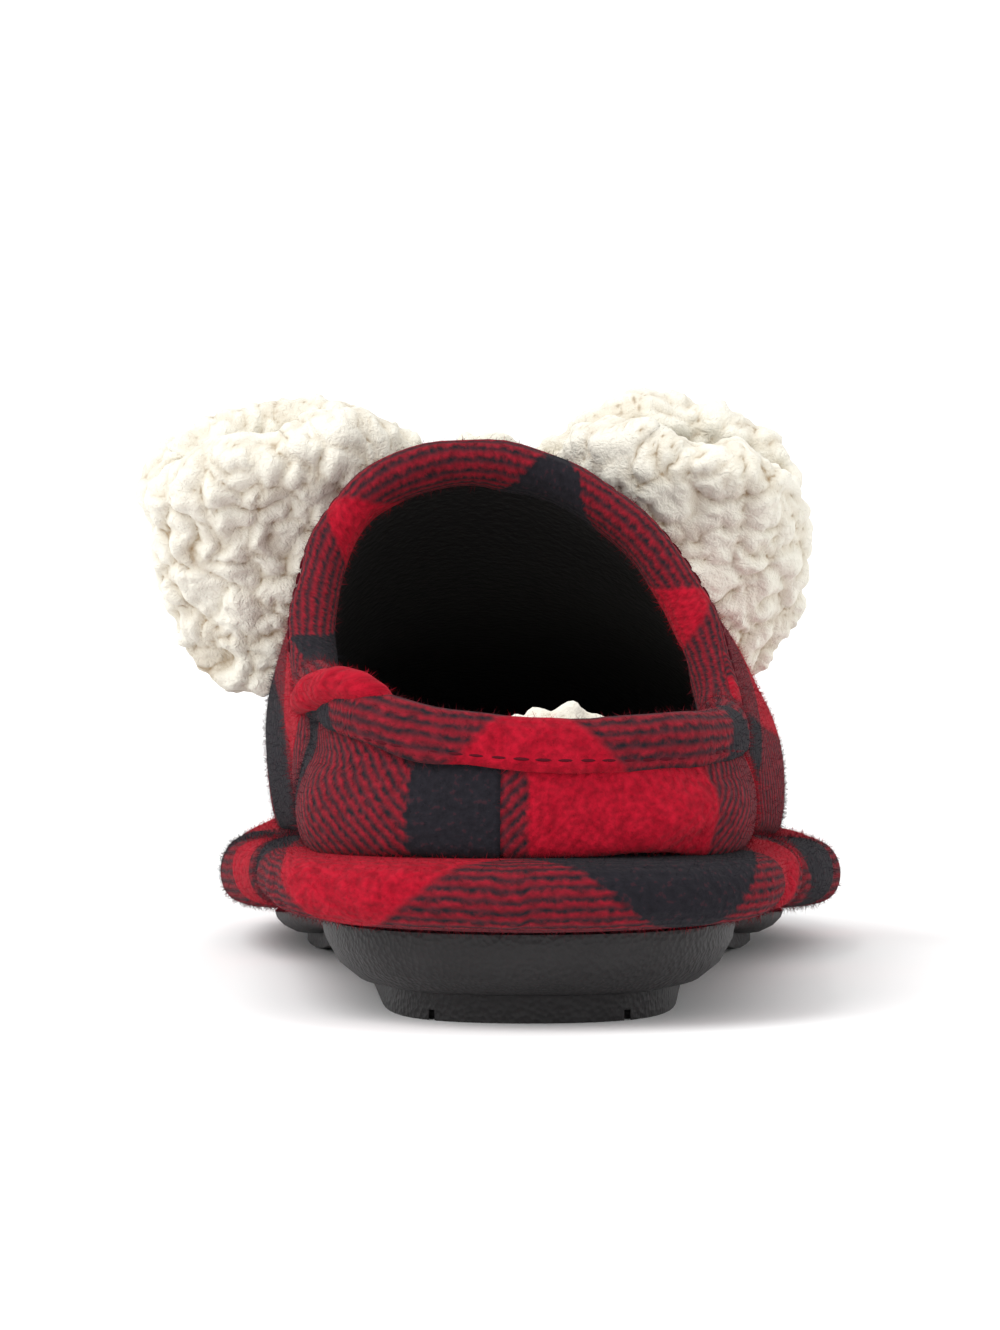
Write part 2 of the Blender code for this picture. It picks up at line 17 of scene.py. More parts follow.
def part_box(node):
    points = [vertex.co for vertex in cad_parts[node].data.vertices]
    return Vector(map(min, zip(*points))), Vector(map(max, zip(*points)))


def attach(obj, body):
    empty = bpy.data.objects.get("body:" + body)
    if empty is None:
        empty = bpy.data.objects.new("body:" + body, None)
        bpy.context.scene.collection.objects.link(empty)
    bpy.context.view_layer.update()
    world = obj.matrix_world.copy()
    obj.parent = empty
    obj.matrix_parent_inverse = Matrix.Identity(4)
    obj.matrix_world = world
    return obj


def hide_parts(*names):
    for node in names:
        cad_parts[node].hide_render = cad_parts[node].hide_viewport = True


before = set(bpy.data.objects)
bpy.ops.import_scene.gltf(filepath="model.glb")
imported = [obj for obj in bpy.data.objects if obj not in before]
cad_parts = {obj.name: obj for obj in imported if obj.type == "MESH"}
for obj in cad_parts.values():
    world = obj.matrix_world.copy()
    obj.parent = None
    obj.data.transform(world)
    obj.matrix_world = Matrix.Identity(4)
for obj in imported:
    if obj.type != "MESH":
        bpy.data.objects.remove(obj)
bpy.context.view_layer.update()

MM = 0.001

# Outsole: one piece of moulded black rubber, with a side that curves in under the foot
# and a grooved tread. Its edges are softened as a mould leaves them, and it is glued on
# under the platform.
EDGE_RADIUS = 0.5 * MM
SHARP = math.radians(50)  # edges that turn by more than this are softened
GRAIN = 0.9 * MM  # size of the pebbles in the mould's texture
GRAIN_DEPTH = 0.3 * MM
RUBBED = 11.1 * MM  # size of the clouds where it has rubbed greyer


def linear(colour):
    """An sRGB hex colour as the linear values that a shader takes."""
    shares = [int(colour[i : i + 2], 16) / 255 for i in (1, 3, 5)]
    return [c / 12.92 if c <= 0.04045 else ((c + 0.055) / 1.055) ** 2.4 for c in shares] + [1]


def add(tree, kind, inputs=None, **settings):
    """Adds a node with its settings, and links or sets its inputs. Returns its outputs."""
    made = tree.nodes.new(kind)
    for name, value in settings.items():
        setattr(made, name, value)
    for socket, value in (inputs or {}).items():
        if isinstance(value, bpy.types.NodeSocket):
            tree.links.new(value, made.inputs[socket])
        else:
            made.inputs[socket].default_value = value
    return made.outputs


def new_finish(name, roughness, specular, sheen=0.0):
    """A material with its shader's plain values set. Returns it, its tree and its shader."""
    material = bpy.data.materials.new(name)
    material.use_nodes = True
    shader = material.node_tree.nodes["Principled BSDF"]
    shader.inputs["Roughness"].default_value = roughness
    shader.inputs["Specular IOR Level"].default_value = specular
    shader.inputs["Sheen Weight"].default_value = sheen
    shader.inputs["Sheen Roughness"].default_value = 0.6
    return material, material.node_tree, shader


def moulded_rubber():
    """Matt black rubber with a fine pebble grain, a little greyer where it has rubbed."""
    material, tree, shader = new_finish("moulded black rubber", 0.62, 0.35)
    place = add(tree, "ShaderNodeTexCoord")["Object"]
    pebbles = add(tree, "ShaderNodeTexVoronoi", {"Vector": place, "Scale": 1 / GRAIN})
    cloud = add(tree, "ShaderNodeTexNoise", {"Vector": place, "Scale": 1 / RUBBED, "Detail": 6.0})
    dust = add(
        tree,
        "ShaderNodeMix",
        {"Factor": cloud["Fac"], 6: linear("#161415"), 7: linear("#2B292A")},
        data_type="RGBA",
    )
    tree.links.new(dust[2], shader.inputs["Base Color"])
    height = add(
        tree, "ShaderNodeMath", {0: pebbles["Distance"], 1: cloud["Fac"]}, operation="ADD"
    )
    bump = add(
        tree, "ShaderNodeBump", {"Height": height[0], "Strength": 0.9, "Distance": GRAIN_DEPTH}
    )
    tree.links.new(bump["Normal"], shader.inputs["Normal"])
    return material


def merged_copy(node):
    """A copy of a solid's mesh with its points merged and its triangles paired."""
    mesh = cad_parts[node].data.copy()
    mesh.materials.clear()
    shape = bmesh.new()
    shape.from_mesh(mesh)
    bmesh.ops.remove_doubles(shape, verts=shape.verts, dist=2e-6)
    bmesh.ops.join_triangles(
        shape,
        faces=shape.faces,
        angle_face_threshold=math.radians(30),
        angle_shape_threshold=math.radians(120),
    )
    bmesh.ops.recalc_face_normals(shape, faces=shape.faces)
    shape.to_mesh(mesh)
    shape.free()
    if "custom_normal" in mesh.attributes:
        mesh.attributes.remove(mesh.attributes["custom_normal"])
    mesh.shade_smooth()
    return mesh


def new_piece(name, mesh, *finishes):
    piece = bpy.data.objects.new(name, mesh)
    bpy.context.scene.collection.objects.link(piece)
    for finish in finishes:
        mesh.materials.append(finish)
    return piece


def settle(piece):
    """Makes a piece and its modifiers one plain mesh."""
    graph = bpy.context.evaluated_depsgraph_get()
    mesh = bpy.data.meshes.new_from_object(piece.evaluated_get(graph), depsgraph=graph)
    piece.modifiers.clear()
    piece.data = mesh
    mesh.shade_smooth()
    return mesh


def dress(piece, slot, *nodes, fill=None):
    """Puts a finished piece in the place of its solids."""
    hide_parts(*nodes)
    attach(piece, "root")


outsole = new_piece("moulded_outsole", merged_copy("outsole"), moulded_rubber())
soften = outsole.modifiers.new("softened edges", "BEVEL")
soften.width = EDGE_RADIUS
soften.segments = 2
soften.limit_method = "ANGLE"
soften.angle_limit = SHARP
settle(outsole)
outsole.data.set_sharp_from_angle(angle=SHARP)
dress(outsole, "outsole_rubber", "outsole")

# Platform cover: a bias-cut strip of buffalo-check flannel wrapped round a foam block.
# It is pulled over the edge, so it puffs out between its two seams and puckers a little.
CHECK = 32.5 * MM  # one square of the check
BAND_EDGE = 0.05  # how softly one band of yarn gives way to the next
TWILL = 1.6 * MM  # from one twill line to the next
TWILL_RED = 0.15, 0.57  # how much red shows beside a twill line, and on it
TUFT = 1.111 * MM  # size of the nap's smallest tufts
CLUMP = 2.381 * MM  # size of the clumps that brushing leaves
FRAY = 0.9 * MM  # how far the tufts blur the edge of a square
STRAY = 0.7 * MM  # how far the clumps push that edge about
NAP_DEPTH = 0.4 * MM
PLATFORM_PUFF = 0.8 * MM
EDGE_ZONE = 9 * MM  # width of the rounded side, in from the outline
SIDE_RADIUS = 8.5 * MM  # the cloth's own radius round that side
STATION = 4 * MM  # points this near each other along the edge share one middle height
BIAS = math.radians(45)


def flannel():
    """Brushed wool-blend twill. Bands of red and black yarn run both ways: they cross as
    solid squares or, where they differ, as a twill of fine slanted lines under the nap."""
    material, tree, shader = new_finish("brushed buffalo-check flannel", 0.95, 0.03, 0.03)
    cloth = add(tree, "ShaderNodeUVMap", uv_map="cloth")["UV"]
    fibres = add(tree, "ShaderNodeTexNoise", {"Vector": cloth, "Scale": 1 / TUFT, "Detail": 3.0})
    clumps = add(tree, "ShaderNodeTexNoise", {"Vector": cloth, "Scale": 1 / CLUMP, "Detail": 3.0})
    shift = add(
        tree,
        "ShaderNodeVectorMath",
        {0: clumps["Color"], 1: (0.5, 0.5, 0.5)},
        operation="SUBTRACT",
    )
    stray = add(tree, "ShaderNodeVectorMath", {0: shift[0], "Scale": STRAY}, operation="SCALE")
    wavy = add(tree, "ShaderNodeVectorMath", {0: cloth, 1: stray[0]}, operation="ADD")
    frayed = add(
        tree, "ShaderNodeVectorMath", {0: fibres["Color"], "Scale": FRAY}, operation="SCALE"
    )
    yarn = add(tree, "ShaderNodeVectorMath", {0: wavy[0], 1: frayed[0]}, operation="ADD")
    axes = add(tree, "ShaderNodeSeparateXYZ", {0: yarn[0]})

    def wave(value, pitch, soft):
        """From 0 to 1 and back along a value, with edges this soft."""
        turns = add(
            tree, "ShaderNodeMath", {0: value, 1: 2 * math.pi / pitch}, operation="MULTIPLY"
        )
        swing = add(tree, "ShaderNodeMath", {0: turns[0]}, operation="SINE")
        return add(tree, "ShaderNodeMapRange", {0: swing[0], 1: -soft, 2: soft})[0]

    warp = wave(axes["X"], 2 * CHECK, BAND_EDGE)
    weft = wave(axes["Y"], 2 * CHECK, BAND_EDGE)
    slant = add(tree, "ShaderNodeMath", {0: axes["X"], 1: axes["Y"]}, operation="SUBTRACT")
    lines = wave(slant[0], TWILL * math.sqrt(2), 1.0)
    top = add(tree, "ShaderNodeMapRange", {0: lines, 3: TWILL_RED[0], 4: TWILL_RED[1]})
    both = add(tree, "ShaderNodeMath", {0: warp, 1: weft}, operation="MINIMUM")
    either = add(tree, "ShaderNodeMath", {0: warp, 1: weft}, operation="MAXIMUM")
    red = add(tree, "ShaderNodeMix", {"Factor": top[0], 2: both[0], 3: either[0]})
    fuzz = add(
        tree, "ShaderNodeMapRange", {0: fibres["Fac"], 1: 0.35, 2: 0.65, 3: -0.16, 4: 0.04}
    )
    mask = add(tree, "ShaderNodeMath", {0: red[0], 1: fuzz[0]}, operation="ADD", use_clamp=True)
    nap = add(tree, "ShaderNodeMath", {0: clumps["Fac"], 1: fibres["Fac"]}, operation="ADD")
    mottle = add(tree, "ShaderNodeMapRange", {0: nap[0], 1: 0.75, 2: 1.25})
    shade = add(
        tree,
        "ShaderNodeMix",
        {"Factor": mottle[0], 6: linear("#8A081C"), 7: linear("#A91328")},
        data_type="RGBA",
    )
    dark = add(
        tree,
        "ShaderNodeMix",
        {"Factor": fibres["Fac"], 6: linear("#151418"), 7: linear("#29272D")},
        data_type="RGBA",
    )
    colour = add(
        tree, "ShaderNodeMix", {"Factor": mask[0], 6: dark[2], 7: shade[2]}, data_type="RGBA"
    )
    tree.links.new(colour[2], shader.inputs["Base Color"])
    rough = add(
        tree,
        "ShaderNodeMath",
        {0: clumps["Fac"], 1: 1.6, 2: fibres["Fac"]},
        operation="MULTIPLY_ADD",
    )
    height = add(tree, "ShaderNodeMath", {0: lines, 1: 0.3, 2: rough[0]}, operation="MULTIPLY_ADD")
    bump = add(
        tree, "ShaderNodeBump", {"Height": height[0], "Strength": 0.8, "Distance": NAP_DEPTH}
    )
    tree.links.new(bump["Normal"], shader.inputs["Normal"])
    return material


def subdivide(piece, levels):
    smoother = piece.modifiers.new("smooth cloth", "SUBSURF")
    smoother.levels = levels
    smoother.render_levels = levels
    return settle(piece)


def points_of(mesh):
    points = np.empty(len(mesh.vertices) * 3, np.float32)
    mesh.vertices.foreach_get("co", points)
    return points.reshape(-1, 3).astype(float)


def normals_of(mesh):
    normals = np.empty(len(mesh.vertices) * 3, np.float32)
    mesh.vertex_normals.foreach_get("vector", normals)
    return normals.reshape(-1, 3).astype(float)


def move_points(mesh, points):
    mesh.vertices.foreach_set("co", points.astype(np.float32).ravel())
    mesh.update()


def round_outline(points, centre, bins=180):
    """Each point's length along a piece's outline in plan, from its back at 0, plus on the
    outer side, then its distance in from the outline and the outline's whole length."""
    aside = points[:, 0] - centre.x
    ahead = points[:, 1] - centre.y
    angle = np.arctan2(aside, -ahead)
    reach = np.hypot(aside, ahead)
    which = np.round((angle + math.pi) / (2 * math.pi) * bins).astype(int) % bins
    edge = np.zeros(bins)
    np.maximum.at(edge, which, reach)
    at = np.arange(bins + 1) * 2 * math.pi / bins - math.pi
    edge = np.append(edge, edge[0])
    steps = np.hypot(np.diff(edge * np.sin(at)), np.diff(edge * np.cos(at)))
    length = np.append(0, np.cumsum(steps))
    length -= np.interp(0, at, length)
    inset = np.interp(angle, at, edge) - reach
    return np.interp(angle, at, length), inset, length[-1] - length[0]


def lay_cloth(mesh, across, up, turn, start, wrap=None, faces=None):
    """Writes the cloth's own coordinates, in metres, turned on the bias by an angle. Wrap is
    the length of a strip that closes on itself, and faces limits it to one panel."""
    corners = np.empty(len(mesh.loops), np.int32)
    mesh.loops.foreach_get("vertex_index", corners)
    firsts = np.empty(len(mesh.polygons), np.int32)
    counts = np.empty(len(mesh.polygons), np.int32)
    mesh.polygons.foreach_get("loop_start", firsts)
    mesh.polygons.foreach_get("loop_total", counts)
    across, up = across[corners], up[corners]
    if wrap:
        first = np.repeat(across[firsts], counts)
        across = across + wrap * np.round((first - across) / wrap)
    cos, sin = math.cos(turn), math.sin(turn)
    places = np.stack([across * cos - up * sin, across * sin + up * cos], 1) + start
    layer = mesh.uv_layers.get("cloth") or mesh.uv_layers.new(name="cloth")
    if faces is not None:
        kept = np.empty(len(mesh.loops) * 2, np.float32)
        layer.uv.foreach_get("vector", kept)
        places = np.where(np.repeat(faces, counts)[:, None], places, kept.reshape(-1, 2))
    layer.uv.foreach_set("vector", places.astype(np.float32).ravel())


RED, BLACK = 0.5, 1.5  # the middle of a red square and of a black one, counted in squares


def square_at(across, up, colour, turn=0.0):
    """Where the cloth starts, for the middle of a square to lie there, in millimetres."""
    cos, sin = math.cos(turn), math.sin(turn)
    middle = colour * CHECK
    return middle - (across * cos - up * sin) * MM, middle - (across * sin + up * cos) * MM


Stretch = namedtuple("Stretch", "place cloth")  # lengths on the piece and on the cloth, in mm


def drawn(length, rows):
    """Lengths on the cloth where a strip was stretched or gathered as it was sewn."""
    return np.interp(length, [row.place * MM for row in rows], [row.cloth * MM for row in rows])


Fold = namedtuple("Fold", "x0 y0 z0 x1 y1 z1 width lift")  # from one point to another, in mm
FOLD_END = 0.3  # share of its lift that a fold keeps at its two ends


def fold_lift(points, folds):
    """How far soft ridges and troughs lift each point."""
    lift = np.zeros(len(points))
    for fold in folds:
        start = np.array([fold.x0, fold.y0, fold.z0]) * MM
        run = np.array([fold.x1, fold.y1, fold.z1]) * MM - start
        along = np.clip((points - start) @ run / (run @ run), 0, 1)
        away = np.linalg.norm(points - start - along[:, None] * run, axis=1)
        fade = FOLD_END + (1 - FOLD_END) * np.sqrt(np.clip(4 * along * (1 - along), 0, 1))
        lift += fold.lift * MM * fade * np.exp(-((away / (fold.width * MM)) ** 2))
    return lift


def rumple(points, size, height, seed):
    """A gentle unevenness of this size, as padded cloth has."""
    offset = Vector((seed * 7.1, seed * 3.7, seed * 1.3))
    return height * np.array([noise.noise(Vector(p) / size + offset) for p in points])


check_flannel = flannel()
platform = new_piece("platform_cover", merged_copy("platform"), check_flannel)
mesh = subdivide(platform, 2)
points, normals = points_of(mesh), normals_of(mesh)
low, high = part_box("platform")
middle = (low + high) / 2
around, inset, girth = round_outline(points, middle)
side = np.clip(1 - np.abs(normals[:, 2]) ** 3, 0, 1) * (inset < EDGE_ZONE)
folds = (
    Fold(47, -86, 24, 42, -103, 10, 3, -1.6),
    Fold(50, -80, 22, 46, -92, 12, 4, 1.2),
    Fold(-37, -92, 25, -33, -106, 12, 3, -1.3),
    Fold(-20, -128, 20, 4, -131, 17, 4, 0.7),
    Fold(6, -131, 22, 34, -122, 12, 4, -0.6),
)
lift = (PLATFORM_PUFF + rumple(points, 15 * MM, 1.1 * MM, 1) + fold_lift(points, folds)) * side
points = points + normals * lift[:, None]
move_points(mesh, points)
stations = np.round(around / STATION).astype(int)
stations -= stations.min()
level = np.bincount(stations, points[:, 2]) / np.maximum(np.bincount(stations), 1)
section = np.arctan2(points[:, 2] - level[stations], EDGE_ZONE - inset) * SIDE_RADIUS
stretch = (
    Stretch(-360, -297),
    Stretch(-178.5, -115),
    Stretch(-151.8, -98),
    Stretch(-100, -69),
    Stretch(-57, -43),
    Stretch(-30, -23),
    Stretch(26, 23),
    Stretch(45, 42),
    Stretch(58, 69),
    Stretch(135, 161),
    Stretch(213, 207),
    Stretch(360, 354),
)
ends = drawn(np.array([-girth, girth]) / 2, stretch)
start = square_at(-23, 12.5, RED, BIAS)
lay_cloth(mesh, drawn(around, stretch), section, BIAS, start, ends[1] - ends[0])
dress(platform, "platform_plaid", "platform", fill=0.8)

# Upper: two quarters joined at the back of the heel and a vamp over the instep and toe,
# all of flannel on thin foam, lined inside with black fleece whose colour also holds painted shade.
LINING_NAP = 1.4 * MM
BACK_SEAM = 0.3 * MM  # where the quarters meet, to the inner side of the heel's middle
SIDE_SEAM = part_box("throat_binding")[0].y  # where the vamp meets the quarters
EASE = 1.13  # the outer quarter is gathered by this much as it is sewn in
VAMP_GIRTH = 150 * MM  # over the vamp, from one edge to the other
VAMP_TURN = math.radians(-12.6)  # the check runs this much askew on the vamp
SEAM_DEPTH = 0.6 * MM
SEAM_SIDE = 0.9 * MM  # the cloth dips to a seam from this far on each side
ON_SEAM = 0.1 * MM  # points this near a seam lie on it
PUFF = 2.6 * MM  # how far the padding swells the cloth between its seams
PUFF_FOOT, RIM_TOP, INSTEP_TOP = 21 * MM, 40 * MM, 66 * MM  # heights where the puff ends
RIM_FRONT, RIM_RUN = -50 * MM, 30 * MM  # from here the top line rises to the instep
TOE_START, TOE_RUN = 60 * MM, 40 * MM  # from here the puff fades out
CORE_HEIGHT, CORE_INSET = 12 * MM, 45 * MM  # a line in the foot's room: outer faces look away


def lining_fleece_and_painted_shade():
    """Short black fleece, coloured darker than such cloth is, so that it also holds painted shade
    of the shoe's dark inside. It takes almost all the light that falls into the shoe.
    """
    material, tree, shader = new_finish("black fleece lining", 1.0, 0.05, 0.05)
    place = add(tree, "ShaderNodeTexCoord")["Object"]
    nap = add(
        tree, "ShaderNodeTexNoise", {"Vector": place, "Scale": 1 / LINING_NAP, "Detail": 4.0}
    )
    # Near-black colour: the fleece's own black together with painted shade of the shoe's inside.
    colour = add(
        tree,
        "ShaderNodeMix",
        {"Factor": nap["Fac"], 6: linear("#060506"), 7: linear("#121011")},
        data_type="RGBA",
    )
    tree.links.new(colour[2], shader.inputs["Base Color"])
    bump = add(
        tree, "ShaderNodeBump", {"Height": nap["Fac"], "Strength": 0.8, "Distance": NAP_DEPTH}
    )
    tree.links.new(bump["Normal"], shader.inputs["Normal"])
    return material


def score(mesh, place, across):
    """Runs a row of edges round a mesh where a plane crosses it."""
    shape = bmesh.new()
    shape.from_mesh(mesh)
    parts = shape.verts[:] + shape.edges[:] + shape.faces[:]
    bmesh.ops.bisect_plane(shape, geom=parts, plane_co=place, plane_no=across, dist=1e-5)
    shape.to_mesh(mesh)
    shape.free()


upper_folds = (
    Fold(-27, -103, 26, -27, -103, 38, 10, 2.2),
    Fold(-31, -94, 26, -33, -80, 38, 10, 1.5),
    Fold(33, -103, 26, 33, -103, 36, 9, 1.2),
    Fold(16, -122, 22, 30, -113, 28, 3, -1.8),
    Fold(22, -121, 27, 34, -108, 36, 4, 1.4),
    Fold(-20, -117, 38, -29, -103, 24, 3, -1.0),
    Fold(40, -40, 38, 43, 0, 26, 5, -1.6),
)
upper = new_piece("flannel_upper", merged_copy("upper"), check_flannel, lining_fleece_and_painted_shade())
mesh = subdivide(upper, 2)
for beside in (-SEAM_SIDE, 0, SEAM_SIDE):
    score(mesh, (BACK_SEAM + beside, 0, 0), (1, 0, 0))
    score(mesh, (0, SIDE_SEAM + beside, 0), (0, 1, 0))
points, normals = points_of(mesh), normals_of(mesh)
low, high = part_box("upper")
middle = (low + high) / 2
core = np.empty_like(points)
core[:, 0] = middle.x
core[:, 1] = np.clip(points[:, 1], low.y + CORE_INSET, high.y - CORE_INSET)
core[:, 2] = low.z + CORE_HEIGHT
outer = np.sum((points - core) * normals, axis=1) > 0
around, _, _ = round_outline(points, middle)
ahead = np.clip((points[:, 1] - RIM_FRONT) / RIM_RUN, 0, 1)
top = RIM_TOP + (INSTEP_TOP - RIM_TOP) * ahead
swollen = np.sin(math.pi * np.clip((points[:, 2] - PUFF_FOOT) / (top - PUFF_FOOT), 0, 1))
swollen *= np.clip(1.6 * np.abs(normals[:, 0]), 0.45, 1)  # most on the sides
swollen *= 1 - np.clip((points[:, 1] - TOE_START) / TOE_RUN, 0, 1)
on_side_seam = np.abs(points[:, 1] - SIDE_SEAM) < ON_SEAM
on_back_seam = (np.abs(points[:, 0] - BACK_SEAM) < ON_SEAM) & (points[:, 1] < SIDE_SEAM)
points -= normals * (SEAM_DEPTH * (on_side_seam | on_back_seam) * outer)[:, None]
lift = rumple(points, 22 * MM, 0.9 * MM, 2) + PUFF * swollen + fold_lift(points, upper_folds)
points = points + normals * (lift * outer)[:, None]
move_points(mesh, points)
counts = np.empty(len(mesh.polygons), np.int32)
mesh.polygons.foreach_get("loop_total", counts)
centres = np.empty(len(mesh.polygons) * 3, np.float32)
mesh.polygons.foreach_get("center", centres)
centres = centres.reshape(-1, 3)
vamp = centres[:, 1] > SIDE_SEAM
inner_quarter = (centres[:, 0] < BACK_SEAM) & ~vamp
outer_quarter = (centres[:, 0] >= BACK_SEAM) & ~vamp
over = np.arctan2(points[:, 0] - middle.x, points[:, 2] - low.z) * VAMP_GIRTH / math.pi
lay_cloth(mesh, points[:, 1], over, VAMP_TURN, square_at(-19, 64, BLACK, VAMP_TURN), faces=vamp)
lay_cloth(mesh, -around, points[:, 2], 0, square_at(3, 31, BLACK), faces=inner_quarter)
lay_cloth(mesh, around * EASE, points[:, 2], 0, square_at(15.7, 31, RED), faces=outer_quarter)
inside = [not outer[p.vertices[0]] for p in mesh.polygons]
mesh.polygons.foreach_set("material_index", np.array(inside, np.int32))
dress(upper, "upper_plaid", "upper")

# Bindings: padded bias strips folded over the edge of the wall and sewn through, one round
# the throat and one along the heel rim.
STRIP_RADIUS = 4 * MM
SMOOTHINGS = 12  # rounds that even out a strip's middle line
STITCH_STEP = 3.2 * MM
THREAD = 0.26 * MM  # radius of the sewing thread
ROW_WIDTH = 0.3  # points this near the stitches' angle, in radians, give their line
NEAR_SIDE = 0.85  # and of those only the ones at this share of the full reach or more


def along_strip(points, angle, bins=90):
    """Length along a strip and the angle round its section, from an angle that only grows
    along the strip."""
    low, high = angle.min(), angle.max()
    which = np.clip(((angle - low) / (high - low) * bins).astype(int), 0, bins - 1)
    count = np.maximum(np.bincount(which, minlength=bins), 1)[:, None]
    middles = np.stack([np.bincount(which, points[:, i], bins) for i in range(3)], 1) / count
    at = low + (np.arange(bins) + 0.5) / bins * (high - low)
    for _ in range(SMOOTHINGS):
        middles[1:-1] = (middles[:-2] + middles[1:-1] + middles[2:]) / 3
    steps = np.linalg.norm(np.diff(middles, axis=0), axis=1)
    length = np.append(0, np.cumsum(steps))
    line = np.stack([np.interp(angle, at, middles[:, i]) for i in range(3)], 1)
    runs = np.gradient(middles, axis=0)
    run = np.stack([np.interp(angle, at, runs[:, i]) for i in range(3)], 1)
    run /= np.linalg.norm(run, axis=1)[:, None]
    return np.interp(angle, at, length), points - line, run


def stitch_line(points, normals, length):
    """The even line through a band of points, with one place to each stitch, on the nap."""
    _, which = np.unique(np.round(length / STITCH_STEP).astype(int), return_inverse=True)
    count = np.bincount(which)[:, None]
    line = np.stack([np.bincount(which, points[:, i]) for i in range(3)], 1) / count
    away = np.stack([np.bincount(which, normals[:, i]) for i in range(3)], 1) / count
    for _ in range(2):
        line[1:-1] = (line[:-2] + 2 * line[1:-1] + line[2:]) / 4
    return line[2:-2] + away[2:-2] * 0.5 * THREAD


def pad_strip(name, node, bend, to_middle, across, stretch, start, stitched_at):
    """A padded bias strip in the place of a binding, with its cloth laid along it. Bend is
    the point it runs round, to_middle leads from there to its middle, and across runs over
    its width. Returns it and its line of stitches, at one angle round its section."""
    strip = new_piece(name, merged_copy(node), check_flannel)
    mesh = subdivide(strip, 1)
    points, normals = points_of(mesh), normals_of(mesh)
    angle = np.arctan2(points[:, 0] - bend[0], (points - bend) @ to_middle)
    length, off, run = along_strip(points, angle)
    outward = np.cross(run, across)
    outward /= np.linalg.norm(outward, axis=1)[:, None]
    upward = np.cross(outward, run)
    turn = np.arctan2(np.sum(off * outward, 1), np.sum(off * upward, 1))
    points = points + normals * rumple(points, 9 * MM, 0.6 * MM, 3)[:, None]
    move_points(mesh, points)
    lay_cloth(mesh, drawn(length, stretch), turn * STRIP_RADIUS, BIAS, start)
    dress(strip, "binding_plaid", node, fill=0.7)
    reach = np.linalg.norm(off, axis=1)
    row = np.abs(turn - stitched_at) < ROW_WIDTH
    row &= reach > NEAR_SIDE * np.quantile(reach[row], 0.9)
    return strip, stitch_line(points[row], normals[row], length[row])


low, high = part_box("throat_binding")
throat_stretch = (
    Stretch(0, -20),
    Stretch(16, 0),
    Stretch(44, 46),
    Stretch(82.7, 92),
    Stretch(114.8, 138),
    Stretch(147, 183),
)
throat_collar, throat_row = pad_strip(
    "throat_collar",
    "throat_binding",
    bend=((low.x + high.x) / 2, 0, low.z + 4 * MM),
    to_middle=(0, 0, 1),
    across=(0, -1, 0.3),
    stretch=throat_stretch,
    start=square_at(0, 17.5, BLACK, BIAS),
    stitched_at=-1.5,
)
low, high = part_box("heel_binding")
heel_stretch = (
    Stretch(0, 20),
    Stretch(54, 50),
    Stretch(66, 73),
    Stretch(82, 83),
    Stretch(200, 201),
)
heel_collar, heel_row = pad_strip(
    "heel_collar",
    "heel_binding",
    bend=((low.x + high.x) / 2, high.y - 30 * MM, 0),
    to_middle=(0, -1, 0),
    across=(0, 0, 1),
    stretch=heel_stretch,
    start=square_at(97, 19.5, RED, BIAS),
    stitched_at=1.85,
)

# Topstitching: a row of plain stitches along the lower edge of each binding, pulled down
# into the nap, in thread of the cloth's darker red.
HALF_STITCH = 0.42 * STITCH_STEP


def sewing_thread():
    """Twisted polyester thread, a little smoother and glossier than the cloth."""
    material, _, shader = new_finish("dark red sewing thread", 0.8, 0.1)
    shader.inputs["Base Color"].default_value = linear("#4A0B17")
    return material


def stitch_tree(thread):
    """Lays a stitch at every step of a line. Returns the tree and its step's identifier."""
    shape = bmesh.new()
    bmesh.ops.create_icosphere(shape, subdivisions=2, radius=THREAD)
    bmesh.ops.scale(shape, verts=shape.verts, vec=(1, 1, HALF_STITCH / THREAD))
    stitch_mesh = bpy.data.meshes.new("stitch")
    shape.to_mesh(stitch_mesh)
    shape.free()
    stitch_mesh.materials.append(thread)
    stitch = bpy.data.objects.new("stitch", stitch_mesh)
    tree = bpy.data.node_groups.new("stitch row", "GeometryNodeTree")
    tree.interface.new_socket("Line", in_out="INPUT", socket_type="NodeSocketGeometry")
    step = tree.interface.new_socket("Step", in_out="INPUT", socket_type="NodeSocketFloat")
    tree.interface.new_socket("Stitches", in_out="OUTPUT", socket_type="NodeSocketGeometry")
    given = add(tree, "NodeGroupInput")
    course = add(tree, "GeometryNodeMeshToCurve", {"Mesh": given["Line"]})
    spots = add(
        tree,
        "GeometryNodeCurveToPoints",
        {"Curve": course[0], "Length": given["Step"]},
        mode="LENGTH",
    )
    one = add(tree, "GeometryNodeObjectInfo", {"Object": stitch})["Geometry"]
    laid = add(
        tree,
        "GeometryNodeInstanceOnPoints",
        {"Points": spots["Points"], "Instance": one, "Rotation": spots["Rotation"]},
    )
    real = add(tree, "GeometryNodeRealizeInstances", {0: laid[0]})
    dyed = add(tree, "GeometryNodeSetMaterial", {"Geometry": real[0], "Material": thread})
    out = tree.nodes.new("NodeGroupOutput")
    tree.links.new(dyed[0], out.inputs[0])
    return tree, step.identifier


def stitches(name, line):
    """A row of stitches along a line. The row stops where the line has a gap."""
    gaps = np.linalg.norm(np.diff(line, axis=0), axis=1)
    joined = [(i, i + 1) for i, gap in enumerate(gaps) if gap < 3 * STITCH_STEP]
    course = bpy.data.meshes.new(name)
    course.from_pydata(line.tolist(), joined, [])
    row = new_piece(name, course, thread)
    sewn = row.modifiers.new("stitch row", "NODES")
    sewn.node_group = stitch_row
    sewn[stitch_step] = STITCH_STEP
    settle(row)
    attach(row, "root")


thread = sewing_thread()
stitch_row, stitch_step = stitch_tree(thread)
stitches("throat_topstitching", throat_row)
stitches("heel_topstitching", heel_row)

